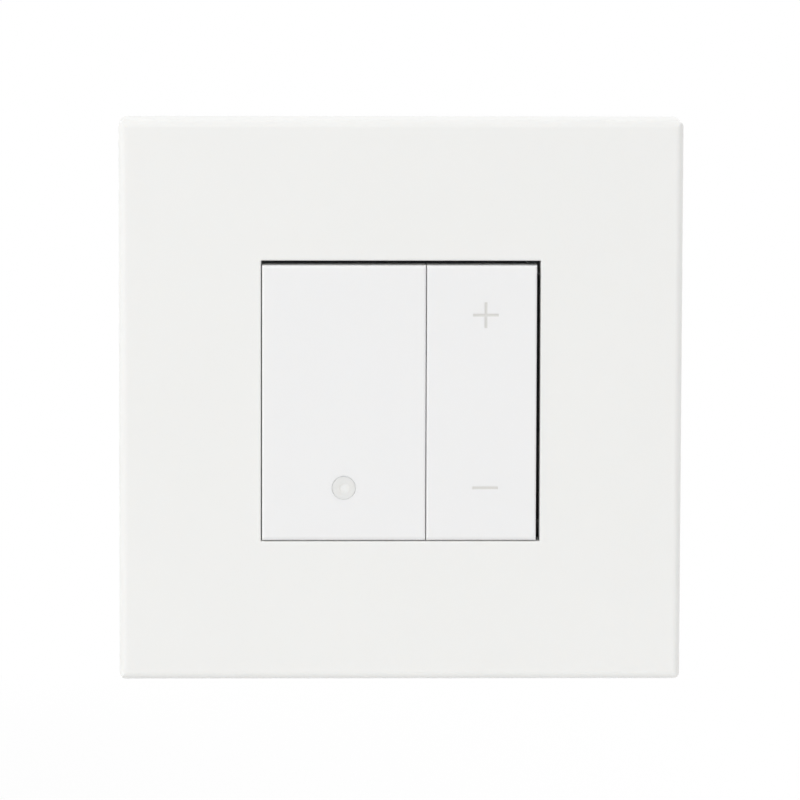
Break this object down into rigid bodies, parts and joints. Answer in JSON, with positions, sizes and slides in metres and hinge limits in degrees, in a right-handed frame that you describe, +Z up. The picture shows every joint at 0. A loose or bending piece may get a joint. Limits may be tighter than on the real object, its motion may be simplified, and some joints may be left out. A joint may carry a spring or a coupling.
{
  "type": "push-key dimmer",
  "caption": "Square wall dimmer: a wide on/off push key with a lit ring, a narrow brighter and darker rocker, a clip-on cover plate and a boxed mechanism on a screw-on frame.",
  "frame": {"origin": "middle of the wall face, the back plane of the support frame, behind the middle of the window", "axes": "+X to the right seen from the front, +Y into the wall, +Z up"},
  "size_m": [0.09, 0.0425, 0.09],
  "materials": {
    "plate_white": "fine satin moulding, slightly translucent",
    "key_white": "fine satin moulding, slightly translucent",
    "light_pipe": "frosted translucent",
    "frame_grey": "glass-filled, fine spark texture",
    "chassis_dark": "fine spark texture",
    "housing_grey": "glass-filled, spark texture",
    "zinc_steel": "zinc plated",
    "spring_steel": "drawn wire",
    "switch_black": "fine texture",
    "plunger_ivory": "smooth",
    "lamp_resin": "clear yellowish resin",
    "board_green": "solder mask",
    "moulded_resin": "fine texture",
    "resistor_film": "glazed top",
    "terminal_brass": "stamped",
    "ferrite": "sintered",
    "winding_copper": "enamelled copper wire",
    "film_case": "moulded case",
    "can_sleeve": "shrunk sleeve",
    "fuse_glass": "clear",
    "tinned_metal": "tinned",
    "pad_rubber": "soft sheet",
    "sink_aluminium": "mill finish"
  },
  "bodies": {
    "base": {"support_frame": "frame_grey", "chassis": "chassis_dark", "rear_housing": "housing_grey", "housing_screws": "zinc_steel", "triac_screw": "zinc_steel", "terminal_screws": "zinc_steel", "clamp_plates": "zinc_steel", "key_spring": "spring_steel", "rocker_springs": "spring_steel", "on_off_switch": "switch_black", "brighten_switch": "switch_black", "darken_switch": "switch_black", "board_header": "switch_black", "indicator_led": "lamp_resin", "control_board": "board_green", "power_board": "board_green", "controller_chip": "moulded_resin", "triac_body": "moulded_resin", "chip_resistors": "resistor_film", "terminal_cages": "terminal_brass", "header_pins": "terminal_brass", "choke_core": "ferrite", "choke_winding": "winding_copper", "suppression_capacitor": "film_case", "smoothing_capacitor": "can_sleeve", "fuse_tube": "fuse_glass", "fuse_caps": "tinned_metal", "triac_tab": "tinned_metal", "triac_leads": "tinned_metal", "insulating_pad": "pad_rubber", "heat_sink": "sink_aluminium"},
    "cover": {"cover_plate": "plate_white"},
    "on_off": {"on_off_key": "key_white", "light_guide": "light_pipe"},
    "rocker": {"dim_rocker": "key_white"},
    "on_off_push": {"on_off_plunger": "plunger_ivory"},
    "brighten_push": {"brighten_plunger": "plunger_ivory"},
    "darken_push": {"darken_plunger": "plunger_ivory"}
  },
  "joints": [
    {"name": "plate_unclip", "type": "slide", "parent": "base", "child": "cover", "axis": [0, -1, 0], "range_m": [0, 0.025]},
    {"name": "on_off_press", "type": "hinge", "parent": "base", "child": "on_off", "pos_m": [-0.00907, -0.0062, 0.01783], "axis": [1, 0, 0], "range_deg": [0, 1.2], "stiffness_Nm_per_rad": 0.3, "springref_deg": -5.73, "deforming": ["key_spring"]},
    {"name": "dim_tilt", "type": "hinge", "parent": "base", "child": "rocker", "pos_m": [0.01291, -0.0062, 0], "axis": [1, 0, 0], "range_deg": [-1.6, 1.6], "stiffness_Nm_per_rad": 0.3, "deforming": ["rocker_springs"]},
    {"name": "on_off_plunge", "type": "slide", "parent": "base", "child": "on_off_push", "axis": [0, 1, 0], "range_m": [0, 0.00055]},
    {"name": "brighten_plunge", "type": "slide", "parent": "base", "child": "brighten_push", "axis": [0, 1, 0], "range_m": [-0.0004, 0.0004]},
    {"name": "darken_plunge", "type": "slide", "parent": "base", "child": "darken_push", "axis": [0, 1, 0], "range_m": [-0.0004, 0.0004]}
  ],
  "couplings": [
    {"joint": "on_off_plunge", "follows": "on_off_press", "m_per_rad": 0.02383},
    {"joint": "brighten_plunge", "follows": "dim_tilt", "m_per_rad": -0.0139},
    {"joint": "darken_plunge", "follows": "dim_tilt", "m_per_rad": 0.0139}
  ]
}
